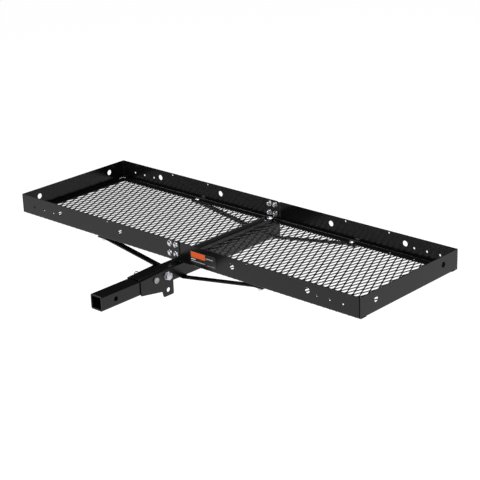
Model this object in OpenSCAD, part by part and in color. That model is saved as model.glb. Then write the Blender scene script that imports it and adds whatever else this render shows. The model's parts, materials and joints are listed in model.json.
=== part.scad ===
// Folding hitch cargo carrier: a square shank with a hinge bracket carries a two-piece steel deck.
// Origin: centre of the hitch pin hole. +Y runs from the vehicle to the deck, +Z up, millimetres.

/* [Deck] */
// Length of the deck, outside the end walls
deck_l = 1540; // [1440:10:1640]
// Width of the deck, outside the front and rear walls
deck_w = 502; // [470:2:540]
// Height of the deck's walls
wall_h = 70; // [68:1:90]
// Thickness of the folded sheet
sheet_t = 2.5; // [2:0.5:3]
// Width of the flange that the floor is welded under
flange_w = 30; // [29:1:36]
// Inside radius of the fold between wall and flange
fold_r = 1.5; // [1:0.5:3]

/* [Expanded metal floor] */
// Thickness of the expanded metal
mesh_t = 4.5; // [3:0.5:5]
// Short way of one diamond, centre to centre
pitch_x = 24.3; // [20:0.1:40]
// Long way of one diamond, centre to centre
pitch_y = 53; // [50:1:80]
// Width of one strand between two diamonds
strand_w = 4.4; // [3:0.1:6]

/* [Square tubes] */
// Side of both square tubes, for a 2 inch receiver
tube_w = 50.8; // [50:0.1:51]
// Wall thickness of both tubes
tube_t = 4.8; // [3:0.1:6]
// Outside corner radius of both tubes
tube_r = 5.5; // [5:0.5:6]
// From the shank's open tip to the hitch pin hole
tip_to_pin = 60; // [50:1:80]
// Diameter of the hitch pin hole, for a 5/8 inch pin
hitch_hole_d = 16.6; // [16:0.1:17]
// From the hitch pin hole to the deck's front wall
pin_to_deck = 288; // [280:1:320]
// Height of the deck's underside above the shank's axis
deck_z = 34; // [32:1:36]

/* [Fold hinge] */
// From the pivot to the deck's front wall
pivot_to_deck = 64; // [60:1:80]
// From the pivot to the lock pin, and to the hole in the bracket's ear
lock_r = 51; // [48:1:54]
// Thickness of the bracket's plate
plate_t = 3.2; // [3:0.1:4]
// Gap between the tubes and each side of the bracket
side_gap = 0.6; // [0.5:0.1:1]
// Diameter of the pivot bolt and of the lock pin
pin_d = 15.88; // [15.8:0.01:15.9]
// Running clearance of both, on the radius
run_gap = 0.06; // [0.03:0.01:0.1]

// Height of the pivot above the tube's middle
pivot_rise = 3.6; // [0:0.1:4]
// How far the deck folds up before the lock pin meets the ear's hole
fold_deg = 94; // [90:1:96]

/* [Braces] */
// Width of the brace straps
strap_w = 24; // [20:1:28]
// Thickness of the brace straps
strap_t = 4; // [3:0.5:6]
// From the deck's middle to the bolt at each end of a strap
brace_x = 360; // [300:5:420]
// From a long wall's outer face to the line of the floor bolts
bolt_y = 18; // [17:0.5:20]

/* [Seam] */
// Middle of the seam between the two halves
seam_x = -5; // [-10:1:0]
// How far the left half's walls reach past the deck's middle
lap_x = 25; // [24:1:40]
// Thickness of the angle bar's upright along each half's inner edge
bar_t = 4; // [3:0.5:6]
// Clear gap between the two uprights
bar_gap = 29; // [26:1:32]
// Height of those uprights
bar_h = 15.5; // [12:0.5:20]
// Width of the angle bar's foot, towards the other half
foot_w = 11; // [8:1:12]
// Thickness of that foot
foot_t = 3.5; // [3:0.5:4]

/* [Label] */
// Length of the blank label on the front wall
label_l = 114; // [80:1:140]
// Height of the label
label_h = 40; // [30:1:44]

/* [Hidden] */
$fn = 48;

BLACK = [0.09, 0.09, 0.1];
FLOOR_BLACK = [0.13, 0.13, 0.14];
ZINC = [0.75, 0.76, 0.78];
eps = 0.01;

// hinge, in the part's frame
pivot_y = pin_to_deck - pivot_to_deck;
tube_top = deck_z - mesh_t;
tube_z = tube_top - tube_w / 2;
pivot_z = tube_z + pivot_rise;
plate_in = tube_w / 2 + side_gap;
plate_out = plate_in + plate_t;
arm_front = pivot_y - lock_r - 20;
web_slope = 2.75;
web_end = pivot_y - tube_w / 2 - 2.6;
web_lift = 0.4;
web_r = tube_r + 1.5;
bracket_front = 100;
cheek_front = 106;
cheek_r = 27;
ear_z = pivot_z - lock_r - 20.3;
shank_end = arm_front - 8;
pin_hole_r = pin_d / 2 + run_gap;
slot_r = pin_d / 2 + 0.4;

// hardware, in the usual inch sizes
pivot_head_af = 23.8;
pivot_head_h = 10;
pivot_nut_h = 13.5;
washer_d = 28;
washer_t = 2.5;
lock_head_d = 21;
lock_head_h = 5;
lock_tail = 15;
clip_r = 1.6;
clip_hole_r = 1.65;
clip_x = -(plate_out + 7);
clip_lean = 44;
clip_up = 28;
clip_loop_r = 7.5;
bolt_d = 9.5;
bolt_head_d = 21;
bolt_head_h = 5;
nut_af = 14.3;
nut_h = 8;
nut_flange_d = 21;
nut_flange_t = 1.8;
thread_gap = 0.05;
bolt_gap = 0.5;
floor_bolt_d = 12.7;
floor_head_d = 26;
floor_head_h = 6;
floor_washer_d = 34;

// deck
end_x = deck_l / 2;
bend_r = fold_r + sheet_t;
joggle_l = 3;
joggle_x = lap_x + 2;
tongue_end = 2 * seam_x - lap_x;
seam_bolt_dx = 13.5;
seam_bolt_z = [23, 56];
tie_x = [257, 567];
tie_z = 40.5;
tie_d = 20;
tie_end_dy = 173;
row_x = [603, 653.5, 704.5];
row_z = 32.5;
row_d = 8;
top_x = [320, 501.5];
top_z = 63;
top_d = 6.5;
weep_x = [518, 615];
weep_d = 8;
corner_gap = 4.5;
seam_corner_r = 12;
mesh_in = 8;
bond_k = 0.72;
strap_low = tube_w + mesh_t;
strap_flat_in = tube_w / 2 + 6;
strap_flat_out = brace_x - 13;
strap_end = brace_x + 20;
label_x = 74;
label_z = 13;
label_t = 0.6;
sides = [-1, 1];

// ---- helpers ----

// moves the deck's own frame (middle of the front wall's bottom edge) into place
module deck() {
    translate([0, pin_to_deck, deck_z]) children();
}

// mirrors to the rear wall what is drawn at the front wall
module at_rear() {
    translate([0, deck_w, 0]) mirror([0, 1, 0]) children();
}

// turns a (y, z) outline into a solid from x0 to x1
module along_x(x0, x1) {
    translate([x0, 0, 0]) rotate([90, 0, 90]) linear_extrude(x1 - x0) children();
}

// turns an (x, z) outline into a solid from y0 to y1
module along_y(y0, y1) {
    translate([0, y1, 0]) rotate([90, 0, 0]) linear_extrude(y1 - y0) children();
}

module drill_x(r, y, z) {
    translate([-plate_out - 50, y, z]) rotate([0, 90, 0]) cylinder(r = r, h = 2 * plate_out + 100);
}

module drill_y(r, x, z, y0, y1) {
    translate([x, y0, z]) rotate([-90, 0, 0]) cylinder(r = r, h = y1 - y0);
}

module rounded_square(w, r) {
    square([w - 2 * r, w], center = true);
    square([w, w - 2 * r], center = true);
    for (sx = sides, sy = sides) translate([sx, sy] * (w / 2 - r)) circle(r);
}

module tube_2d() {
    difference() {
        rounded_square(tube_w, tube_r);
        rounded_square(tube_w - 2 * tube_t, max(tube_r - tube_t, 0.5));
    }
}

// wall and flange of one folded rail: x inward, y up
module rail_2d() {
    translate([0, bend_r]) square([sheet_t, wall_h - bend_r]);
    translate([bend_r, 0]) square([flange_w - bend_r, sheet_t]);
    translate([bend_r, bend_r]) intersection() {
        difference() {
            circle(bend_r);
            circle(fold_r);
        }
        translate([-bend_r, -bend_r]) square(bend_r);
    }
}

module dome(d, h) {
    r = (d * d / 4 + h * h) / (2 * h);
    intersection() {
        translate([0, 0, h - r]) sphere(r, $fn = 96);
        cylinder(d = d, h = h + 1);
    }
}

// round-headed bolt with its head above z = 0
module carriage_bolt(d, len, head_d, head_h) {
    dome(head_d, head_h);
    translate([0, 0, -len]) cylinder(d = d, h = len + eps);
}

// hexagon, drawn across its flats
module hexagon(af, h) {
    cylinder(d = af / cos(30), h = h, $fn = 6);
}

module flange_nut() {
    difference() {
        union() {
            cylinder(d = nut_flange_d, h = nut_flange_t);
            hexagon(nut_af, nut_h);
        }
        translate([0, 0, -1]) cylinder(d = bolt_d + 2 * thread_gap, h = nut_h + 2);
    }
}

module washer(d, hole_d, t) {
    difference() {
        cylinder(d = d, h = t);
        translate([0, 0, -1]) cylinder(d = hole_d, h = t + 2);
    }
}

// ---- shank and hinge ----

module shank_tube() {
    color(BLACK) difference() {
        along_y(-tip_to_pin, shank_end) tube_2d();
        drill_x(hitch_hole_d / 2, 0, 0);
    }
}

// side view of the bracket: cheek round the pivot, ear below it for the folded position
module bracket_side_2d() {
    nose_z = -27;
    ear_y0 = pivot_y - 22.5;
    corner_r = 4;
    difference() {
        union() {
            polygon([[bracket_front, 60], [bracket_front, 24], [cheek_front, 20], [cheek_front, nose_z],
                     [ear_y0 - 2, nose_z - 15.5], [ear_y0, nose_z - 17.4], [ear_y0 + 3, ear_z + corner_r + 1],
                     [ear_y0 + 4 + corner_r, ear_z], [pivot_y + cheek_r - corner_r, ear_z],
                     [pivot_y + cheek_r, ear_z + corner_r], [pivot_y + cheek_r, pivot_z],
                     [pivot_y, pivot_z + cheek_r], [web_end, pivot_z + cheek_r], [web_end, 60]]);
            translate([pivot_y, pivot_z]) circle(cheek_r, $fn = 96);
            translate([ear_y0 + 4 + corner_r, ear_z + corner_r]) circle(corner_r);
            translate([pivot_y + cheek_r - corner_r, ear_z + corner_r]) circle(corner_r);
        }
        translate([pivot_y, pivot_z]) circle(pin_hole_r);
        translate([pivot_y - lock_r, pivot_z]) circle(pin_hole_r);
        translate([pivot_y - lock_r * cos(fold_deg), pivot_z - lock_r * sin(fold_deg)]) circle(pin_hole_r);
    }
}

// the channel that the bracket is folded from: web on top, legs hanging
module channel_2d() {
    out_r = web_r + plate_t;
    leg = 140;
    difference() {
        union() {
            translate([-plate_out, -leg]) square([2 * plate_out, leg - out_r]);
            translate([-plate_out + out_r, -leg]) square([2 * (plate_out - out_r), leg]);
            for (s = sides) translate([s * (plate_out - out_r), -out_r]) circle(out_r);
        }
        translate([-plate_in, -leg - 1]) square([2 * plate_in, leg + 1 - plate_t - web_r]);
        translate([-plate_in + web_r, -leg - 1]) square([2 * (plate_in - web_r), leg + 1 - plate_t]);
        for (s = sides) translate([s * (plate_in - web_r), -out_r]) circle(web_r);
    }
}

module pivot_bracket() {
    color(BLACK) difference() {
        intersection() {
            along_x(-plate_out - 1, plate_out + 1) bracket_side_2d();
            translate([0, arm_front, tube_top + web_lift]) rotate([web_slope, 0, 0])
                translate([0, 0, plate_t]) along_y(-100, 140) channel_2d();
        }
        translate([-plate_in, web_end, 0]) cube([2 * plate_in, 100, 100]);
    }
}

module pivot_bolt() {
    reach = plate_out + washer_t;
    color(ZINC) translate([reach, pivot_y, pivot_z]) rotate([0, 90, 0]) {
        hexagon(pivot_head_af, pivot_head_h);
        translate([0, 0, -2 * reach - pivot_nut_h - 4]) cylinder(d = pin_d, h = 2 * reach + pivot_nut_h + 4 + eps);
    }
}

module pivot_washers() {
    color(ZINC) for (x = [plate_out, -plate_out - washer_t])
        translate([x, pivot_y, pivot_z]) rotate([0, 90, 0]) washer(washer_d, pin_d + 0.8, washer_t);
}

module pivot_nut() {
    color(ZINC) translate([-plate_out - washer_t, pivot_y, pivot_z]) rotate([0, -90, 0]) difference() {
        hexagon(pivot_head_af, pivot_nut_h);
        translate([0, 0, -1]) cylinder(d = pin_d + 2 * thread_gap, h = pivot_nut_h + 2);
    }
}

module lock_pin() {
    color(ZINC) difference() {
        translate([plate_out, pivot_y - lock_r, pivot_z]) rotate([0, 90, 0]) {
            cylinder(d = lock_head_d, h = lock_head_h);
            translate([0, 0, -2 * plate_out - lock_tail]) cylinder(d = pin_d, h = 2 * plate_out + lock_tail + eps);
        }
        translate([clip_x, pivot_y - lock_r, pivot_z]) rotate([clip_lean, 0, 0])
            cylinder(r = clip_hole_r, h = 2 * pin_d, center = true);
    }
}

// one straight run of wire between two (across, up) points
module wire_run(a, b) {
    d = b - a;
    translate([0, a[0], a[1]]) rotate([-atan2(d[0], d[1]), 0, 0]) cylinder(r = clip_r - 0.03, h = norm(d));
}

module wire_bend(p) {
    translate([0, p[0], p[1]]) sphere(clip_r + 0.03);
}

module hairpin_clip() {
    top = [2 * clip_loop_r, clip_up];
    waist = [pin_d / 2 + clip_r + 0.15, 0];
    color(ZINC) translate([clip_x, pivot_y - lock_r, pivot_z]) rotate([clip_lean, 0, 0]) mirror([0, 1, 0]) {
        wire_run([0, -20], [0, clip_up + 0.2]);
        translate([0, clip_loop_r, clip_up]) rotate([0, 90, 0]) difference() {
            rotate_extrude() translate([clip_loop_r, 0]) circle(clip_r);
            translate([0, -50, -50]) cube(100);
        }
        wire_run(waist, top);
        wire_bend(top);
        wire_bend(waist);
        wire_run([waist[0] + 5, -15], waist);
    }
}

// ---- carrier tube ----

// path that the lock pin takes through the tube as the tube turns about its pivot
module lock_slot_2d() {
    difference() {
        circle(lock_r + slot_r, $fn = 96);
        circle(lock_r - slot_r, $fn = 96);
        translate([-100, -200]) square(200);
        translate([0, -100]) square(200);
    }
    translate([-lock_r, 0]) circle(slot_r);
}

module center_tube() {
    color(BLACK) difference() {
        translate([0, 0, tube_z]) along_y(arm_front, pin_to_deck + deck_w) tube_2d();
        drill_x(pin_hole_r, pivot_y, pivot_z);
        translate([0, pivot_y, pivot_z]) along_x(-tube_w, tube_w) lock_slot_2d();
        deck() for (y = [bolt_y, deck_w - bolt_y]) translate([seam_x, y, -mesh_t - tube_t - 1])
            cylinder(d = floor_bolt_d + 2 * bolt_gap, h = tube_t + 2);
    }
}

module pivot_sleeve() {
    len = tube_w - 2 * tube_t;
    color(BLACK) translate([-len / 2, pivot_y, pivot_z]) rotate([0, 90, 0])
        washer(pin_d + 6, 2 * pin_hole_r, len);
}

// ---- deck rails, drawn in the deck's frame ----

// every hole in a long wall and its flange, for one half
module long_rail_holes(s) {
    for (x = tie_x) drill_y(tie_d / 2, s * x, tie_z, -1, sheet_t + 1);
    for (x = row_x) drill_y(row_d / 2, s * x, row_z, -1, sheet_t + 1);
    for (x = top_x) drill_y(top_d / 2, s * x, top_z, -1, sheet_t + 1);
    for (x = weep_x) translate([s * x, bolt_y, -1]) cylinder(d = weep_d, h = sheet_t + 2);
    translate([s * brace_x, bolt_y, -1]) cylinder(d = bolt_d + 2 * bolt_gap, h = sheet_t + 2);
    translate([s * (end_x - corner_gap - 1), corner_gap + 1, -1]) cylinder(r = corner_gap, h = sheet_t + 2);
}

// holes for the seam's own bolts, through both layers
module seam_holes() {
    for (dx = sides, z = seam_bolt_z)
        drill_y(bolt_d / 2 + bolt_gap, seam_x + dx * seam_bolt_dx, z, -1, 2 * sheet_t + 1);
    translate([seam_x, bolt_y, -1]) cylinder(d = floor_bolt_d + 2 * bolt_gap, h = 2 * sheet_t + 2);
}

module left_long_rail() {
    difference() {
        along_x(-end_x, lap_x) rail_2d();
        long_rail_holes(-1);
        seam_holes();
        translate([lap_x - seam_corner_r, -1, wall_h - seam_corner_r]) difference() {
            cube([seam_corner_r + 1, sheet_t + 2, seam_corner_r + 1]);
            drill_y(seam_corner_r, 0, 0, -1, sheet_t + 3);
        }
    }
}

// the right half's rail steps inward and passes behind the left half's rail
module right_long_rail() {
    main_x = joggle_x + joggle_l;
    step = [[joggle_x, sheet_t], [main_x, 0], [main_x, sheet_t], [joggle_x, 2 * sheet_t]];
    difference() {
        union() {
            along_x(main_x, end_x) rail_2d();
            along_x(tongue_end, joggle_x) translate([sheet_t, sheet_t]) intersection() {
                rail_2d();
                square([flange_w - sheet_t, wall_h - sheet_t - 1]);
            }
            translate([0, 0, sheet_t]) linear_extrude(wall_h - sheet_t - 1) polygon(step);
            along_y(sheet_t, flange_w) polygon(step);
        }
        long_rail_holes(1);
        seam_holes();
    }
}

module end_rail() {
    notch = flange_w + 0.2;
    difference() {
        union() {
            along_y(notch, deck_w - notch) rail_2d();
            translate([0, sheet_t, sheet_t + fold_r]) cube([sheet_t, notch, wall_h - sheet_t - fold_r]);
            translate([0, deck_w - notch - sheet_t, sheet_t + fold_r])
                cube([sheet_t, notch, wall_h - sheet_t - fold_r]);
        }
        for (s = sides) translate([-1, deck_w / 2 + s * tie_end_dy, tie_z]) rotate([0, 90, 0])
            cylinder(d = tie_d, h = sheet_t + 2);
    }
}

module left_front_rail() {
    color(BLACK) deck() left_long_rail();
}

module left_rear_rail() {
    color(BLACK) deck() at_rear() left_long_rail();
}

module right_front_rail() {
    color(BLACK) deck() right_long_rail();
}

module right_rear_rail() {
    color(BLACK) deck() at_rear() right_long_rail();
}

module left_end_rail() {
    color(BLACK) deck() translate([-end_x, 0, 0]) end_rail();
}

module right_end_rail() {
    color(BLACK) deck() mirror([1, 0, 0]) translate([-end_x, 0, 0]) end_rail();
}

// angle bar along the inner edge of the right half, between the two flanges, its foot on the tube
module seam_bar() {
    inner = bar_gap / 2;
    translate([seam_x, 0, -mesh_t]) along_y(flange_w, deck_w - flange_w)
        polygon([[inner - foot_w, 0], [inner + bar_t, 0], [inner + bar_t, bar_h], [inner, bar_h],
                 [inner, foot_t], [inner - foot_w, foot_t]]);
}

module left_seam_bar() {
    color(BLACK) deck() translate([2 * seam_x, 0, 0]) mirror([1, 0, 0]) seam_bar();
}

module right_seam_bar() {
    color(BLACK) deck() seam_bar();
}

// ---- floor ----

// half lengths of one diamond opening; the strands between openings are strand_w wide
open_x = pitch_x / 2 - strand_w * bond_k;
open_y = pitch_y / 2 - strand_w;

module mesh_floor(x0, x1) {
    y0 = mesh_in;
    y1 = deck_w - mesh_in;
    cols = floor((x1 - x0) / pitch_x);
    rows = floor((y1 - y0) / pitch_y * 2);
    color(FLOOR_BLACK) deck() translate([0, 0, -mesh_t]) linear_extrude(mesh_t) difference() {
        translate([x0, y0]) square([x1 - x0, y1 - y0]);
        for (j = [1 : rows - 1], i = [1 : cols]) {
            cx = x0 + (i - 0.5 + (j % 2 == 0 ? 0.5 : 0)) * pitch_x;
            cy = y0 + j * pitch_y / 2;
            if (cx + open_x < x1 - 2) polygon([[cx - open_x, cy], [cx, cy - open_y],
                                               [cx + open_x, cy], [cx, cy + open_y]]);
        }
        for (y = [bolt_y, deck_w - bolt_y], s = sides) translate([s * brace_x, y]) circle(d = bolt_d + 3);
    }
}

module left_mesh_floor() {
    mesh_floor(-end_x + mesh_in, seam_x - bar_gap / 2 - bar_t);
}

module right_mesh_floor() {
    mesh_floor(seam_x + bar_gap / 2 + bar_t, end_x - mesh_in);
}

// ---- braces ----

// one bent strap: flat under the tube, rising to a flat end under each half's flange
function strap_top() = [[-strap_end, -mesh_t], [-strap_flat_out, -mesh_t], [-strap_flat_in, -strap_low],
                        [strap_flat_in, -strap_low], [strap_flat_out, -mesh_t], [strap_end, -mesh_t]];

module brace_strap() {
    top = strap_top();
    difference() {
        along_y(bolt_y - strap_w / 2, bolt_y + strap_w / 2)
            polygon(concat(top, [for (i = [5 : -1 : 0]) top[i] - [0, strap_t]]));
        for (s = sides) translate([s * brace_x, bolt_y, -mesh_t - strap_t - 1])
            cylinder(d = bolt_d + 2 * bolt_gap, h = strap_t + 2);
    }
}

module front_brace() {
    color(BLACK) deck() brace_strap();
}

module rear_brace() {
    color(BLACK) deck() at_rear() brace_strap();
}

// places of the four bolts at the straps' ends
module at_brace_bolts() {
    deck() for (s = sides, y = [bolt_y, deck_w - bolt_y]) translate([s * brace_x, y, 0]) children();
}

strap_under = -mesh_t - strap_t;

module brace_bolts() {
    len = sheet_t + mesh_t + strap_t + 1.6 + nut_h + 2;
    color(ZINC) at_brace_bolts() translate([0, 0, sheet_t])
        carriage_bolt(bolt_d, len, bolt_head_d, bolt_head_h);
}

module brace_washers() {
    color(ZINC) at_brace_bolts() translate([0, 0, strap_under - 1.6]) washer(22, bolt_d + 0.8, 1.6);
}

module brace_nuts() {
    color(ZINC) at_brace_bolts() translate([0, 0, strap_under - 1.6]) mirror([0, 0, 1]) difference() {
        hexagon(nut_af, nut_h);
        translate([0, 0, -1]) cylinder(d = bolt_d + 2 * thread_gap, h = nut_h + 2);
    }
}

// ---- bolts that join the halves to each other and to the tube ----

module at_floor_bolts() {
    deck() for (y = [bolt_y, deck_w - bolt_y]) translate([seam_x, y, 0]) children();
}

module floor_bolts() {
    color(ZINC) at_floor_bolts() translate([0, 0, 2 * sheet_t + washer_t])
        carriage_bolt(floor_bolt_d, 2 * sheet_t + washer_t + mesh_t + tube_t + 12, floor_head_d, floor_head_h);
}

module floor_washers() {
    color(ZINC) at_floor_bolts() translate([0, 0, 2 * sheet_t])
        washer(min(floor_washer_d, 2 * (bolt_y - 2 * sheet_t - fold_r)), floor_bolt_d + 0.8, washer_t);
}

module floor_weld_nuts() {
    color(ZINC) at_floor_bolts() translate([0, 0, -mesh_t - tube_t - 9]) difference() {
        hexagon(19, 9);
        translate([0, 0, -1]) cylinder(d = floor_bolt_d + 2 * thread_gap, h = 11);
    }
}

// places of the four bolts of one seam, with z along the bolt, out of the wall
module at_seam_bolts() {
    for (dx = sides, z = seam_bolt_z)
        translate([seam_x + dx * seam_bolt_dx, 0, z]) rotate([90, 0, 0]) children();
}

module seam_bolts() {
    at_seam_bolts() carriage_bolt(bolt_d, 2 * sheet_t + nut_h + 3, bolt_head_d, bolt_head_h);
}

module seam_nuts() {
    at_seam_bolts() translate([0, 0, -2 * sheet_t]) mirror([0, 0, 1]) flange_nut();
}

module front_seam_bolts() {
    color(ZINC) deck() seam_bolts();
}

module front_seam_nuts() {
    color(ZINC) deck() seam_nuts();
}

module rear_seam_bolts() {
    color(ZINC) deck() at_rear() seam_bolts();
}

module rear_seam_nuts() {
    color(ZINC) deck() at_rear() seam_nuts();
}

// blank plate on the right half's front wall
module label_plate() {
    color([0.05, 0.05, 0.05]) deck() translate([label_x, -label_t, label_z]) cube([label_l, label_t, label_h]);
}

shank_tube();
pivot_bracket();
pivot_bolt();
pivot_washers();
pivot_nut();
lock_pin();
hairpin_clip();
center_tube();
pivot_sleeve();
left_front_rail();
left_rear_rail();
left_end_rail();
left_seam_bar();
left_mesh_floor();
right_front_rail();
right_rear_rail();
right_end_rail();
right_seam_bar();
right_mesh_floor();
front_brace();
rear_brace();
brace_bolts();
brace_washers();
brace_nuts();
floor_bolts();
floor_washers();
floor_weld_nuts();
front_seam_bolts();
front_seam_nuts();
rear_seam_bolts();
rear_seam_nuts();
label_plate();
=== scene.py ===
"""Folding hitch cargo carrier: finishes for the CAD frame, and detailed floor, hardware and welds."""
import json
import math

import bmesh
import bpy
from mathutils import Matrix, Vector


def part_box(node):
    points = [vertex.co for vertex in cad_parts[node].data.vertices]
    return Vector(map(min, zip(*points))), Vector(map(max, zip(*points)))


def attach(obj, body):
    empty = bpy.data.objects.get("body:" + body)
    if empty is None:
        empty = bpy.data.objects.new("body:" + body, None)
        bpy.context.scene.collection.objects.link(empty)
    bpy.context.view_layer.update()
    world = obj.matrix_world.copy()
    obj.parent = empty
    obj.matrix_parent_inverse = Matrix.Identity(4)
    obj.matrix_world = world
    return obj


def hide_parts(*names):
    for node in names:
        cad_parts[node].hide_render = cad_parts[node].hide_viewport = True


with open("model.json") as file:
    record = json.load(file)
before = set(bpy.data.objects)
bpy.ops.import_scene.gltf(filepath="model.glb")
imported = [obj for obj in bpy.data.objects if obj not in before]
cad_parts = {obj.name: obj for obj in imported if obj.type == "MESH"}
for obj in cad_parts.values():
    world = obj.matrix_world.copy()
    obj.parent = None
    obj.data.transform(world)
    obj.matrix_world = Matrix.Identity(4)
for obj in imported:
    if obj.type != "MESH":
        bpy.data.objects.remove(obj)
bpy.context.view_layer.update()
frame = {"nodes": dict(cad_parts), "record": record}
scene = bpy.context.scene
MM = 0.001
# Pieces are drawn in millimetres, either in the deck's frame or in the row frame, which is the CAD's own
DECK = Vector((0.0, 288.0, 34.0))
ROW = Vector((0.0, 0.0, 0.0))
# The deck: its size, its sheet, and the joint between its halves
DECK_L = 1540.0
DECK_W = 502.0
SHEET = 2.5
SEAM_X = -5.0
FLANGE_BOLT_Y = (18.0, DECK_W - 18.0)
SIDES = (-1, 1)
# The hinge: (Y, Z) of its two pins, and the outer face of the bracket's cheeks
PIVOT = (224.0, 7.7)
LOCK = (173.0, 7.7)
PLATE_OUT = 29.2


# ---------------------------------------------------------------- materials
class Nodes:
    """A material's node tree, with short calls for the nodes used here."""

    def __init__(self, name):
        self.mat = bpy.data.materials.new(name)
        self.mat.use_nodes = True
        self.tree = self.mat.node_tree
        self.bsdf = self.tree.nodes["Principled BSDF"]
        self.coord = self.add("ShaderNodeTexCoord").outputs["Object"]

    def add(self, kind, **props):
        n = self.tree.nodes.new(kind)
        for k, v in props.items():
            setattr(n, k, v)
        return n

    def link(self, a, b):
        self.tree.links.new(a, b)

    def axis(self, i):
        """The X, Y or Z of the point that is shaded."""
        sep = self.add("ShaderNodeSeparateXYZ")
        self.link(self.coord, sep.inputs[0])
        return sep.outputs[i]

    def calc(self, operation, *values):
        """A maths node on sockets or plain numbers."""
        n = self.add("ShaderNodeMath", operation=operation)
        for sock, v in zip(n.inputs, values):
            if isinstance(v, float):
                sock.default_value = v
            else:
                self.link(v, sock)
        return n.outputs[0]

    def noise(self, scale, detail=3.0, rough=0.55, stretch=None):
        n = self.add("ShaderNodeTexNoise")
        n.inputs["Scale"].default_value = scale
        n.inputs["Detail"].default_value = detail
        n.inputs["Roughness"].default_value = rough
        src = self.coord
        if stretch:
            m = self.add("ShaderNodeMapping")
            m.inputs["Scale"].default_value = stretch
            self.link(src, m.inputs["Vector"])
            src = m.outputs["Vector"]
        self.link(src, n.inputs["Vector"])
        return n.outputs["Fac"]

    def remap(self, value, lo, hi, to_lo, to_hi):
        n = self.add("ShaderNodeMapRange")
        for k, v in (("From Min", lo), ("From Max", hi), ("To Min", to_lo), ("To Max", to_hi)):
            n.inputs[k].default_value = v
        self.link(value, n.inputs["Value"])
        return n.outputs["Result"]

    def mix(self, fac, a, b):
        n = self.add("ShaderNodeMix", data_type="RGBA")
        self.link(fac, n.inputs["Factor"])
        for sock, v in ((n.inputs[6], a), (n.inputs[7], b)):
            if isinstance(v, tuple):
                sock.default_value = (*v, 1.0)
            else:
                self.link(v, sock)
        return n.outputs[2]

    def bump(self, height, strength, distance, normal=None):
        n = self.add("ShaderNodeBump")
        n.inputs["Strength"].default_value = strength
        n.inputs["Distance"].default_value = distance
        self.link(height, n.inputs["Height"])
        if normal is not None:
            self.link(normal, n.inputs["Normal"])
        return n.outputs["Normal"]

    def set(self, **values):
        for k, v in values.items():
            self.bsdf.inputs[k.replace("_", " ")].default_value = v


# Distance along X, either way from the middle, of the painted shade line at the butt joints near the deck's
# corners, standing in for the shadow in the gap between the sheets, and its half width
CORNER_SHADE_LINE = 767.4
SHADE_LINE_HALF = 1.8
SHADE_LINE_FADE = 0.15
# Height just above the seam bars' feet, and the height over which their coat turns from black to the lighter
# painted light
FOOT_TOP = 33.3
PAINTED_LIGHT_FADE = 0.6
DEEP_BLACK = (0.004, 0.004, 0.0045)


def powder_coat(name, base, rough, peel, ior=1.37, shade_line=None, foot=None):
    """Black powder coat: orange peel, faint dust and a broad change of gloss.

    shade_line puts a painted shade line across the coat, standing in for the shadow in a joint's gap; above
    foot the coat is painted lighter, painted light on the seam bars' faces, and below it stays black.
    """
    m = Nodes(name)
    fine = m.noise(900.0, 2.0)
    broad = m.noise(7.0, 3.0)
    dust = m.remap(m.noise(60.0, 6.0, 0.7), 0.52, 0.8, 0.0, 0.35)
    dusty = tuple(c * 2.2 + 0.004 for c in base)
    colour = m.mix(dust, base, dusty)
    if foot:
        # Painted light: above foot the coat takes its lighter base colour, standing in for light on the
        # bar's faces; below it, the plain black
        painted_light_mask = m.remap(m.axis(2), foot * MM, (foot + PAINTED_LIGHT_FADE) * MM, 0.0, 1.0)
        colour = m.mix(painted_light_mask, DEEP_BLACK, colour)
    m.link(colour, m.bsdf.inputs["Base Color"])
    m.link(m.remap(broad, 0.3, 0.7, rough - 0.03, rough + 0.04), m.bsdf.inputs["Roughness"])
    edge = m.add("ShaderNodeBevel", samples=4)
    edge.inputs["Radius"].default_value = 0.7 * MM
    m.link(m.bump(fine, peel, 0.4 * MM, edge.outputs["Normal"]), m.bsdf.inputs["Normal"])
    m.set(IOR=ior)
    # Painted shade: a thin band with its reflection turned off at the corner joint, standing in for the
    # shadow in the gap between the butting sheets
    if shade_line:
        off = m.calc("ABSOLUTE", m.calc("SUBTRACT", m.calc("ABSOLUTE", m.axis(0)), shade_line * MM))
        inside, outside = (SHADE_LINE_HALF - SHADE_LINE_FADE) * MM, (SHADE_LINE_HALF + SHADE_LINE_FADE) * MM
        m.link(m.remap(off, inside, outside, 0.0, 0.5), m.bsdf.inputs["Specular IOR Level"])
    return m.mat


def zinc(name, base, rough, tint):
    """Bright zinc plate: metal with a soft drift of tint and fine handling marks."""
    m = Nodes(name)
    drift = m.remap(m.noise(90.0, 3.0), 0.4, 0.65, 0.0, 0.6)
    marks = m.noise(1400.0, 4.0, 0.7, stretch=(1.0, 0.25, 1.0))
    m.link(m.mix(drift, base, tint), m.bsdf.inputs["Base Color"])
    m.link(m.remap(marks, 0.3, 0.7, rough - 0.06, rough + 0.1), m.bsdf.inputs["Roughness"])
    m.link(m.bump(marks, 0.12, 0.1 * MM), m.bsdf.inputs["Normal"])
    m.set(Metallic=1.0)
    return m.mat


COAT = powder_coat("powder_coat_black", (0.004, 0.004, 0.0044), 0.19, 0.08, 1.35)
# The rails' coat carries the painted shade line at the corner joints
RAIL_COAT = powder_coat("powder_coat_rails", (0.004, 0.004, 0.0044), 0.19, 0.08, 1.35, shade_line=CORNER_SHADE_LINE)
# The end rails' coat is a shaded copy of the black coat: a darker base and weaker reflection, painted shade
# standing in for the dimmer light on the ends' inner faces
END_COAT = powder_coat("powder_coat_ends", (0.0028, 0.0028, 0.0031), 0.19, 0.08, 1.33)
TUBE_COAT = powder_coat("powder_coat_tube", (0.003, 0.003, 0.0033), 0.26, 0.08, 1.35)
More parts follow.
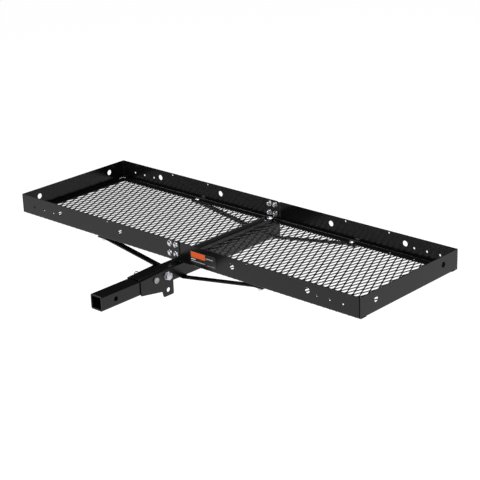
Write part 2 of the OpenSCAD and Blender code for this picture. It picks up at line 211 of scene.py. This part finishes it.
# The seam bars' coats are lit copies of the black coat: their lighter bases are painted light standing in
# for light on their faces, the left bar's the most
LEFT_BAR_COAT = powder_coat("powder_coat_left_bar", (0.058, 0.058, 0.06), 0.4, 0.12, foot=FOOT_TOP)
RIGHT_BAR_COAT = powder_coat("powder_coat_right_bar", (0.025, 0.025, 0.026), 0.3, 0.12, foot=FOOT_TOP)
FLOOR_COAT = powder_coat("powder_coat_floor", (0.018, 0.018, 0.019), 0.36, 0.12)
WELD = powder_coat("powder_coat_weld", (0.009, 0.009, 0.0095), 0.24, 0.2)
ZINC = zinc("zinc_plate", (0.66, 0.67, 0.71), 0.24, (0.56, 0.56, 0.55))
HEX_ZINC = zinc("zinc_hex", (0.60, 0.60, 0.66), 0.4, (0.52, 0.52, 0.54))
PIN_ZINC = zinc("zinc_pin", (0.36, 0.38, 0.41), 0.34, (0.33, 0.32, 0.31))
STEEL = zinc("bare_steel", (0.34, 0.33, 0.32), 0.42, (0.26, 0.22, 0.19))


# ---------------------------------------------------------------- mesh helpers
def piece(name, bm, mat, body, replaces=(), sharp=35.0, origin=DECK):
    """A finished piece from a bmesh in millimetres, riding on a body."""
    bmesh.ops.remove_doubles(bm, verts=bm.verts, dist=0.002)
    bmesh.ops.recalc_face_normals(bm, faces=bm.faces)
    me = bpy.data.meshes.new(name)
    bmesh.ops.transform(bm, matrix=Matrix.Scale(MM, 4) @ Matrix.Translation(origin), verts=bm.verts)
    bm.to_mesh(me)
    bm.free()
    me.shade_smooth()
    me.set_sharp_from_angle(angle=math.radians(sharp))
    me.materials.append(mat)
    ob = bpy.data.objects.new(name, me)
    scene.collection.objects.link(ob)
    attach(ob, body)
    if replaces:
        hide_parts(*replaces)


def bridge(bm, a, b):
    """Faces between two rings of the same length."""
    n = len(a)
    for i in range(n):
        j = (i + 1) % n
        bm.faces.new((a[i], a[j], b[j], b[i]))


def close_ends(bm, rings):
    bm.faces.new(list(reversed(rings[0])))
    bm.faces.new(rings[-1])


def lathe(bm, profile, at):
    """A closed solid of revolution about local Z from (radius, z) points."""
    segs = 48
    rings = []
    for r, z in profile:
        if r == 0:
            rings.append([bm.verts.new(at @ Vector((0, 0, z)))])
        else:
            rings.append([bm.verts.new(at @ Vector((r * math.cos(t), r * math.sin(t), z)))
                          for t in (2 * math.pi * i / segs for i in range(segs))])
    hollow = profile[0][0] > 0 and profile[-1][0] > 0
    pairs = list(zip(rings, rings[1:])) + ([(rings[-1], rings[0])] if hollow else [])
    for a, b in pairs:
        if len(a) > 1 and len(b) > 1:
            bridge(bm, a, b)
            continue
        for i in range(segs):
            j = (i + 1) % segs
            bm.faces.new((a[0], b[j], b[i]) if len(a) == 1 else (a[i], a[j], b[0]))


def hex_ring(bm, at, across, h, bore, bottom=True):
    """A hexagon with turned-down corners, at the bottom too when asked; bore 0 leaves it solid."""
    steps = 12
    n = 6 * steps
    r_in = across / 2
    flat = r_in * 0.96
    cut = math.tan(math.radians(28))
    chamfer = 0.6

    def radius(i):
        return r_in / math.cos(math.radians((i * 60.0 / steps) % 60 - 30))

    def lift(i):
        return max(0.0, (radius(i) - flat) * cut)

    def ring(points):
        out = []
        for i, (r, z) in enumerate(points):
            t = 2 * math.pi * i / n
            out.append(bm.verts.new(at @ Vector((r * math.cos(t), r * math.sin(t), z))))
        return out

    def circle(r, z):
        return ring([(r, z)] * n)

    inner = bore / 2
    rings = []
    if inner:
        rings += [circle(inner, chamfer), circle(inner + chamfer, 0.0)]
    rings.append(circle(flat, 0.0))
    rings.append(ring([(radius(i), lift(i) if bottom else 0.0) for i in range(n)]))
    rings.append(ring([(radius(i), h - lift(i)) for i in range(n)]))
    rings.append(circle(flat, h))
    if inner:
        rings += [circle(inner + chamfer, h), circle(inner, h - chamfer)]
    for a, b in zip(rings, rings[1:]):
        bridge(bm, a, b)
    if inner:
        bridge(bm, rings[-1], rings[0])
    else:
        close_ends(bm, rings)


def threaded(d, z0, z1, pitch):
    """Profile of a threaded rod from just below z0 down to z1, ending in a chamfer."""
    r, tip = d / 2, 1.2
    pts = []
    z = z0 - 0.4
    while z - pitch > z1 + tip:
        pts += [(r, z), (r - pitch / 2, z - pitch / 2), (r, z - pitch + 0.05)]
        z -= pitch
    return pts + [(r, z1 + tip), (r - tip, z1), (0, z1)]


def dome_profile(d, h):
    """Low round head above z = 0, with a short upright rim."""
    half, rim = d / 2, 1.0
    r = (half ** 2 + (h - rim) ** 2) / (2 * (h - rim))
    pts = [(0, h)]
    for k in range(1, 13):
        x = d / 2 * k / 12
        pts.append((x, h - r + math.sqrt(r * r - x * x)))
    return pts + [(half, rim * 0.4), (half - 0.4, 0.0)]


def carriage_bolt(bm, at, d, length, head_d, head_h, pitch=1.6, plain=6.0):
    """Domed head, plain neck and threaded shank below z = 0."""
    neck = [(d / 2, 0.0), (d / 2, -plain)]
    lathe(bm, dome_profile(head_d, head_h) + neck + threaded(d, -plain, -length, pitch), at)


def place(x, y, z, rx=0.0, ry=0.0, rz=0.0):
    """Matrix in millimetres; the turn is X, then Y, then Z, in degrees."""
    return (Matrix.Translation((x, y, z)) @ Matrix.Rotation(math.radians(rz), 4, "Z")
            @ Matrix.Rotation(math.radians(ry), 4, "Y") @ Matrix.Rotation(math.radians(rx), 4, "X"))


def tube_path(bm, points, radii, segs):
    """A round wire along points, one radius each, with a steady frame and flat ends."""
    up = None
    rings = []
    for i, (p, r) in enumerate(zip(points, radii)):
        d = (points[min(i + 1, len(points) - 1)] - points[max(i - 1, 0)]).normalized()
        if up is None:
            up = d.orthogonal().normalized()
        up = (up - d * up.dot(d)).normalized()
        side = d.cross(up)
        rings.append([bm.verts.new(p + (up * math.cos(t) + side * math.sin(t)) * r)
                      for t in (2 * math.pi * k / segs for k in range(segs))])
    for a, b in zip(rings, rings[1:]):
        bridge(bm, a, b)
    close_ends(bm, rings)


def weld_bead(bm, a, b, size):
    """A rippled fillet bead from a to b, about size across."""
    ring_gap, ripple_gap = 0.7, 2.6
    a, b = Vector(a), Vector(b)
    length = (b - a).length
    n = max(12, int(length / ring_gap))
    pts, rad = [], []
    for i in range(n + 1):
        t = i / n
        edge = min(1.0, 4.0 * min(t, 1 - t) + 0.55)
        along = t * length
        ripple = 1.0 + 0.09 * math.sin(along * 2 * math.pi / ripple_gap) + 0.04 * math.sin(along * 1.7)
        wander = 0.08 * size * math.sin(along * 0.9)
        pts.append(a.lerp(b, t) + Vector((0, 0, wander)))
        rad.append(size / 2 * ripple * edge)
    tube_path(bm, pts, rad, segs=12)


# ---------------------------------------------------------------- expanded metal floor
PITCH_X, PITCH_Y = 24.3, 53.0
KNUCKLE = 3.15  # width of one strand where two meet
STRAND_SPREAD = 0.5  # how much wider half a strand is between its knuckles
STRAND_HALF_T = 0.65
STRAND_BREAK = 0.28  # length cut off a strand's edges
STRAND_STEPS = 8
KNUCKLE_SHARE = 0.1  # part of each step along Y that a knuckle takes, at either end


def strand_section(half_w, lean):
    """Section of a leaning strand in (x, z), with broken edges."""
    t = STRAND_HALF_T
    corners = [Vector(c) for c in ((-half_w, lean - t), (half_w, -lean - t),
                                   (half_w, -lean + t), (-half_w, lean + t))]
    out = []
    for p, q in zip(corners, corners[1:] + corners[:1]):
        c = STRAND_BREAK / (q - p).length
        out += [p.lerp(q, c), p.lerp(q, 1 - c)]
    return out


def expanded_metal(name, node):
    """Raised expanded metal: tilted knuckles, and leaning strands that climb from one to the next."""
    lo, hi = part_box(node)
    x0, x1 = lo.x / MM - DECK.x, hi.x / MM - DECK.x
    y0, y1 = lo.y / MM - DECK.y, hi.y / MM - DECK.y
    top, low = hi.z / MM - DECK.z, lo.z / MM - DECK.z
    mid = (top + low) / 2
    lean = ((top - low) / 2 - STRAND_HALF_T) / 2
    bm = bmesh.new()
    rows = int((y1 - y0) / (PITCH_Y / 2)) + 2
    waves = int((x1 - x0) / PITCH_X) + 3
    for k, side in ((k, side) for k in range(-1, waves) for side in (1, -1)):
        rings = []
        for s in range(rows * STRAND_STEPS + 1):
            row, f = divmod(s, STRAND_STEPS)
            f /= STRAND_STEPS
            g = min(1.0, max(0.0, (f - KNUCKLE_SHARE) / (1 - 2 * KNUCKLE_SHARE)))
            swing = g if row % 2 else 1 - g
            half_w = KNUCKLE / 2 + STRAND_SPREAD * math.sin(math.pi * g)
            xc = x0 + k * PITCH_X + (0 if side > 0 else PITCH_X)
            xc += side * (KNUCKLE / 2 + swing * (PITCH_X / 2 - KNUCKLE))
            y = y0 + (row + f - 1) * PITCH_Y / 2
            zc = mid + side * (2 * swing - 1) * lean
            rings.append([bm.verts.new((xc + p.x, y, zc + p.y)) for p in strand_section(half_w, lean)])
        for a, b in zip(rings, rings[1:]):
            bridge(bm, a, b)
        close_ends(bm, rings)
    for co, no in (((x0, 0, 0), (-1, 0, 0)), ((x1, 0, 0), (1, 0, 0)),
                   ((0, y0, 0), (0, -1, 0)), ((0, y1, 0), (0, 1, 0))):
        geom = bm.verts[:] + bm.edges[:] + bm.faces[:]
        cut = bmesh.ops.bisect_plane(bm, geom=geom, plane_co=co, plane_no=no, clear_outer=True)
        edges = [e for e in cut["geom_cut"] if isinstance(e, bmesh.types.BMEdge)]
        bmesh.ops.holes_fill(bm, edges=edges, sides=0)
    piece(name, bm, FLOOR_COAT, "carrier", (node,), sharp=50.0)


expanded_metal("left_floor_strands", "left_mesh_floor")
expanded_metal("right_floor_strands", "right_mesh_floor")

# ---------------------------------------------------------------- hardware on the deck
BOLT_D = 9.5  # 3/8 inch bolts at the seam and the braces
BOLT_HEAD_D = 21.0
BOLT_HEAD_H = 5.0
NUT_ACROSS = 14.3
NUT_BORE = 9.6
SEAM_BOLTS = [(SEAM_X + dx, z) for dx in (-13.5, 13.5) for z in (23.0, 56.0)]
BRACE_X = 360.0
FLOOR_BOLT_D = 12.7
FLOOR_HEAD_D = 26.0
FLOOR_HEAD_H = 6.0


def flange_nut(bm, at, turn):
    turned = at @ Matrix.Rotation(math.radians(turn), 4, "Z")
    lathe(bm, [(4.85, 0.0), (10.3, 0.0), (10.5, 0.5), (10.1, 1.3), (7.4, 2.4), (4.85, 2.4)], turned)
    hex_ring(bm, turned @ Matrix.Translation((0, 0, 1.6)), NUT_ACROSS, 6.4, NUT_BORE, bottom=False)


def seam_set(where, y, out):
    """Bolts and nuts of one seam; out turns each bolt's head out of the wall."""
    bolts, nuts = bmesh.new(), bmesh.new()
    for i, (x, z) in enumerate(SEAM_BOLTS):
        at = place(x, y, z, rx=out)
        carriage_bolt(bolts, at, BOLT_D, 16.0, BOLT_HEAD_D, BOLT_HEAD_H)
        back = at @ Matrix.Translation((0, 0, -2 * SHEET)) @ Matrix.Rotation(math.pi, 4, "X")
        flange_nut(nuts, back, 17.0 * i + 5)
    piece(f"{where}_seam_bolt_set", bolts, ZINC, "carrier", (f"{where}_seam_bolts",))
    piece(f"{where}_seam_nut_set", nuts, ZINC, "carrier", (f"{where}_seam_nuts",))


def brace_hardware():
    """Bolts down through the flanges and the straps' ends, with washers and nuts below."""
    washer = [(4.9, 0.0), (11.0, 0.0), (11.0, 1.4), (10.8, 1.6), (4.9, 1.6)]
    washer_z, nut_z = -10.1, -18.1
    bolts, washers, nuts = bmesh.new(), bmesh.new(), bmesh.new()
    for i, (x, y) in enumerate([(s * BRACE_X, y) for s in SIDES for y in FLANGE_BOLT_Y]):
        carriage_bolt(bolts, place(x, y, SHEET), BOLT_D, 22.6, BOLT_HEAD_D, BOLT_HEAD_H, plain=9.0)
        lathe(washers, washer, place(x, y, washer_z))
        hex_ring(nuts, place(x, y, nut_z, rz=13.0 * i), NUT_ACROSS, 8.0, NUT_BORE)
    piece("brace_bolt_set", bolts, ZINC, "carrier", ("brace_bolts",))
    piece("brace_washer_set", washers, ZINC, "carrier", ("brace_washers",))
    piece("brace_nut_set", nuts, ZINC, "carrier", ("brace_nuts",))


def floor_hardware():
    """Bolts down through both halves' flanges, each on a washer."""
    base, top = 2 * SHEET, 3 * SHEET
    washer = [(6.75, base), (11.35, base), (11.5, base + 0.3), (11.4, top - 0.2), (11.1, top), (6.75, top)]
    bolts, washers = bmesh.new(), bmesh.new()
    for y in FLANGE_BOLT_Y:
        carriage_bolt(bolts, place(SEAM_X, y, top), FLOOR_BOLT_D, 28.8, FLOOR_HEAD_D, FLOOR_HEAD_H,
                      pitch=2.0, plain=14.0)
        lathe(washers, washer, place(SEAM_X, y, 0))
    piece("floor_bolt_set", bolts, ZINC, "carrier", ("floor_bolts",))
    piece("floor_washer_set", washers, ZINC, "carrier", ("floor_washers",))


seam_set("front", 0.0, 90.0)
seam_set("rear", DECK_W, -90.0)
brace_hardware()
floor_hardware()

# ---------------------------------------------------------------- hinge hardware, in the row frame
PIN_D = 15.88  # 5/8 inch pivot bolt and lock pin
PIVOT_ACROSS = 23.8
PIVOT_WASHER_T = 2.5


def pivot_bolt():
    thread_z, end_z = -58.0, -80.9
    at = place(PLATE_OUT + PIVOT_WASHER_T, *PIVOT, ry=90.0)
    bm = bmesh.new()
    hex_ring(bm, at @ Matrix.Translation((0, 0, 0.5)), PIVOT_ACROSS, 9.5, 0, bottom=False)
    collar = [(0, 0.55), (11.0, 0.55), (11.2, 0.0), (PIN_D / 2, 0.0), (PIN_D / 2, thread_z)]
    lathe(bm, collar + threaded(PIN_D, thread_z, end_z, 2.3), at)
    piece("pivot_bolt_turned", bm, HEX_ZINC, "shank", ("pivot_bolt",), origin=ROW)


def pivot_washers():
    top = PIVOT_WASHER_T
    washer = [(8.3, 0.0), (13.9, 0.0), (14.0, 0.3), (13.8, top - 0.3), (13.4, top), (8.3, top)]
    bm = bmesh.new()
    for x in (PLATE_OUT, -PLATE_OUT - PIVOT_WASHER_T):
        lathe(bm, washer, place(x, *PIVOT, ry=90.0))
    piece("pivot_washer_pair", bm, ZINC, "shank", ("pivot_washers",), origin=ROW)


def pivot_nut():
    """Lock nut: a hexagon with a collar."""
    at = place(-PLATE_OUT - PIVOT_WASHER_T, *PIVOT, ry=-90.0)
    bm = bmesh.new()
    hex_ring(bm, at @ Matrix.Rotation(0.3, 4, "Z"), PIVOT_ACROSS, 10.5, 16.0)
    lathe(bm, [(8.0, 10.0), (10.6, 10.0), (10.4, 12.6), (9.6, 13.5), (8.3, 13.5), (8.0, 13.0)], at)
    piece("pivot_lock_nut", bm, ZINC, "shank", ("pivot_nut",), origin=ROW)


def lock_pin():
    """Turned pin: a head with a recessed face, and a tapered tip."""
    head = [(0, 3.6), (6.6, 3.6), (7.1, 3.9), (7.4, 5.0), (9.6, 5.0), (10.3, 4.6), (10.5, 4.0), (10.5, 1.0),
            (10.2, 0.2), (9.7, 0.0)]
    shaft = [(PIN_D / 2, 0.0), (PIN_D / 2, -71.0), (6.9, -73.0), (4.0, -73.4), (0, -73.4)]
    bm = bmesh.new()
    lathe(bm, head + shaft, place(PLATE_OUT, *LOCK, ry=90.0))
    piece("lock_pin_turned", bm, PIN_ZINC, "lock", ("lock_pin",), origin=ROW)


WIRE_R = 1.58
LOOP_R = 7.5
LOOP_UP = 28.0
CLIP_LEAN = math.radians(44.0)
CLIP_OUT = 7.0  # from the far cheek's face to the clip


def clip_points():
    """Points of the hairpin clip in (across, up), straight leg first, then its loop and its waved leg."""
    pts = [(0.0, -20.0), (0.0, LOOP_UP)]
    for k in range(1, 20):
        t = math.pi - math.pi * k / 20
        pts.append((LOOP_R + LOOP_R * math.cos(t), LOOP_UP + LOOP_R * math.sin(t)))
    pts += [(2 * LOOP_R, LOOP_UP), (14.5, 24.0), (13.0, 18.5), (10.6, 13.0), (9.0, 9.0)]
    pts += [(9.1, 5.5), (9.75, 2.5), (9.95, 0.0), (9.75, -2.5), (9.0, -5.5)]
    pts += [(8.5, -8.0), (9.3, -11.0), (11.6, -14.0), (14.2, -16.6)]
    return pts


LONG_SPAN = 10.0


def smoothed(raw):
    """Curve through the points; long spans, and the span after one, stay straight."""
    last = len(raw) - 1
    fine = []
    for i in range(last):
        p0, p1, p2, p3 = (Vector(raw[max(0, min(last, i + d))]) for d in (-1, 0, 1, 2))
        long_span = (p2 - p1).length > LONG_SPAN
        straight = long_span or (p1 - p0).length > LONG_SPAN
        n = 12 if long_span else 4
        for t in (k / n for k in range(n)):
            if straight:
                fine.append(p1.lerp(p2, t))
            else:
                bend = (2 * p0 - 5 * p1 + 4 * p2 - p3) * t * t + (3 * p1 - p0 - 3 * p2 + p3) * t ** 3
                fine.append(0.5 * (2 * p1 + (p2 - p0) * t + bend))
    return fine + [Vector(raw[last])]


def hairpin_clip():
    centre = Vector((-PLATE_OUT - CLIP_OUT, *LOCK))
    across = Vector((0, -math.cos(CLIP_LEAN), -math.sin(CLIP_LEAN)))
    up = Vector((0, -math.sin(CLIP_LEAN), math.cos(CLIP_LEAN)))
    line = [centre + across * q.x + up * q.y for q in smoothed(clip_points())]
    bm = bmesh.new()
    tube_path(bm, line, [WIRE_R] * len(line), segs=16)
    piece("hairpin_clip_wire", bm, PIN_ZINC, "clip", ("hairpin_clip",), origin=ROW)


pivot_bolt()
pivot_washers()
pivot_nut()
lock_pin()
hairpin_clip()


# ---------------------------------------------------------------- welds
def shank_welds():
    """Along the shank's lower edges, where the bracket's cheeks pass them."""
    x, z = 24.6, -26.6
    bm = bmesh.new()
    for s in SIDES:
        weld_bead(bm, (s * x, 108.0, z), (s * x, 142.0, z), 3.0)
    piece("shank_welds", bm, WELD, "shank", origin=ROW, sharp=80.0)


def deck_welds():
    """Beside the straps under the tube, up the inner corners, and at the ends of the seam bars."""
    strap_edge, tube_bottom = 12.4, -55.0
    corner_x, corner_y = DECK_L / 2 - 2.9, 2.9
    bar_x, bar_end = 16.5, 30.2
    bm = bmesh.new()
    for y in FLANGE_BOLT_Y:
        for s in SIDES:
            edge_y = y + s * strap_edge
            weld_bead(bm, (-24.0, edge_y, tube_bottom), (24.0, edge_y, tube_bottom), 3.0)
    for s in SIDES:
        for y in (corner_y, DECK_W - corner_y):
            weld_bead(bm, (s * corner_x, y, 6.0), (s * corner_x, y, 68.0), 2.6)
    for x in (SEAM_X - bar_x, SEAM_X + bar_x):
        for y in (bar_end, DECK_W - bar_end):
            weld_bead(bm, (x - 2.0, y, 2.6), (x + 2.0, y, 2.6), 2.2)
    piece("deck_welds", bm, WELD, "carrier", sharp=80.0)


shank_welds()
deck_welds()

# ---------------------------------------------------------------- label
# Printed areas of the label: left, right, bottom and top, then the colour
PRINT_BLOCK = (79, 142, 32, 51.5, (0.80, 0.12, 0.02))
PRINT_BARS = [(79, 99, 25, 28.5, (0.6,) * 3), (79, 141, 18.5, 21, (0.4,) * 3),
              (145, 176, 38.5, 42, (0.4,) * 3), (150, 184, 16.5, 19, (0.2,) * 3)]


def label_material():
    """Black vinyl with a printed block and plain bars; no lettering."""
    m = Nodes("label_vinyl")

    def band(axis, lo, hi):
        above = m.calc("GREATER_THAN", m.axis(axis), lo * MM)
        below = m.calc("LESS_THAN", m.axis(axis), hi * MM)
        return m.calc("MULTIPLY", above, below)

    colour = m.mix(m.noise(300.0, 3.0), (0.012, 0.012, 0.013), (0.018, 0.018, 0.019))
    for x0, x1, z0, z1, ink in [PRINT_BLOCK] + PRINT_BARS:
        area = m.calc("MULTIPLY", band(0, x0, x1), band(2, z0 + DECK.z, z1 + DECK.z))
        colour = m.mix(area, colour, ink)
    m.link(colour, m.bsdf.inputs["Base Color"])
    m.link(m.bump(m.noise(1200.0, 2.0), 0.06, 0.1 * MM), m.bsdf.inputs["Normal"])
    m.set(Roughness=0.28)
    return m.mat


def rounded_plate(bm, x0, x1, z0, z1, y_back, y_front, r):
    """Thin plate with round corners and a softened front edge."""
    loops = []
    for y, inset in ((y_back, 0.0), (y_front + 0.2, 0.0), (y_front, 0.25)):
        loop = []
        for cx, cz, a0 in ((x1 - r, z1 - r, 0), (x0 + r, z1 - r, 90),
                           (x0 + r, z0 + r, 180), (x1 - r, z0 + r, 270)):
            for k in range(7):
                a = math.radians(a0 + 15 * k)
                spot = (cx + (r - inset) * math.cos(a), y, cz + (r - inset) * math.sin(a))
                loop.append(bm.verts.new(spot))
        loops.append(loop)
    for a, b in zip(loops, loops[1:]):
        bridge(bm, a, b)
    close_ends(bm, loops)


def label():
    bm = bmesh.new()
    rounded_plate(bm, 74.0, 188.0, 13.0, 53.0, 0.0, -0.6, 4.0)
    piece("label_sticker", bm, label_material(), "carrier", ("label_plate",))


label()

# ---------------------------------------------------------------- finishes on the CAD nodes
BY_SLOT = {"black_powder_coat": COAT, "floor_powder_coat": FLOOR_COAT, "zinc_plate": ZINC,
           "bare_steel": STEEL, "label_vinyl": ZINC}
BY_NODE = {"center_tube": TUBE_COAT, "pivot_bracket": TUBE_COAT,
           "left_seam_bar": LEFT_BAR_COAT, "right_seam_bar": RIGHT_BAR_COAT}
for half in ("left", "right"):
    BY_NODE[half + "_end_rail"] = END_COAT
    BY_NODE[half + "_front_rail"] = RAIL_COAT
    BY_NODE[half + "_rear_rail"] = RAIL_COAT


def finish_cad():
    for part in frame["record"]["subparts"]:
        ob = frame["nodes"][part["node"]]
        finish = BY_NODE.get(part["node"], BY_SLOT[part["material_slot"]])
        if not ob.material_slots:
            ob.data.materials.append(finish)
        for slot in ob.material_slots:
            slot.material = finish


finish_cad()

# ---------------------------------------------------------------- studio
FLOOR_Z = -0.9
FLOOR_HALF = 60.0
AIM = Vector((0.0, 0.5, 0.05))  # near the middle of the deck


def studio_floor():
    """A white floor that glows, so that it meets the background without an edge."""
    r, z = FLOOR_HALF, FLOOR_Z
    me = bpy.data.meshes.new("studio_floor")
    me.from_pydata([(-r, -r, z), (r, -r, z), (r, r, z), (-r, r, z)], [], [(0, 1, 2, 3)])
    floor = bpy.data.objects.new("studio_floor", me)
    scene.collection.objects.link(floor)
    m = Nodes("studio_floor")
    m.link(m.mix(m.noise(0.7, 2.0), (0.24, 0.24, 0.24), (0.27, 0.27, 0.27)), m.bsdf.inputs["Base Color"])
    m.set(Roughness=0.9, Emission_Color=(1, 1, 1, 1), Emission_Strength=0.98)
    me.materials.append(m.mat)


def studio_world():
    world = bpy.data.worlds.new("studio")
    world.use_nodes = True
    background = world.node_tree.nodes["Background"]
    background.inputs["Color"].default_value = (0.5, 0.5, 0.52, 1)
    background.inputs["Strength"].default_value = 0.02
    scene.world = world


def softbox(name, loc, size, energy):
    """A rectangular lamp, in metres and watts, turned to the middle of the deck."""
    lamp = bpy.data.lights.new(name, "AREA")
    lamp.shape = "RECTANGLE"
    lamp.size, lamp.size_y = size
    lamp.energy = energy
    ob = bpy.data.objects.new(name, lamp)
    ob.location = loc
    ob.rotation_euler = (AIM - Vector(loc)).to_track_quat("-Z", "Y").to_euler()
    scene.collection.objects.link(ob)


studio_floor()
studio_world()
softbox("overhead", (0.5, 0.2, 3.2), (2.6, 2.2), 90.0)
softbox("left", (-2.5, -0.9, 2.7), (1.6, 1.6), 60.0)
softbox("front", (1.2, -4.0, 2.2), (3.0, 1.6), 50.0)
softbox("right", (4.2, 0.8, 2.4), (1.6, 3.0), 20.0)

# ---------------------------------------------------------------- camera, solved from the deck's corners
AZIMUTH, ELEVATION, ROLL = (math.radians(v) for v in (42.946, 20.76, -1.83))
CAMERA_AT = (3.1041, -2.7274, 1.7360)


def camera():
    flat = math.cos(ELEVATION)
    back = Vector((math.sin(AZIMUTH) * flat, -math.cos(AZIMUTH) * flat, math.sin(ELEVATION)))
    level = (-back).cross(Vector((0, 0, 1))).normalized()
    upright = level.cross(-back)
    right = level * math.cos(ROLL) + upright * math.sin(ROLL)
    up = upright * math.cos(ROLL) - level * math.sin(ROLL)
    cam = bpy.data.cameras.new("camera")
    cam.sensor_width = 36.0
    cam.lens = 106.05
    cam.clip_end = 200.0
    ob = bpy.data.objects.new("camera", cam)
    ob.matrix_world = Matrix.Translation(CAMERA_AT) @ Matrix((right, up, back)).transposed().to_4x4()
    scene.collection.objects.link(ob)
    scene.camera = ob


camera()
scene.view_settings.view_transform = "Standard"
scene.view_settings.look = "None"
scene.view_settings.exposure = 0.0
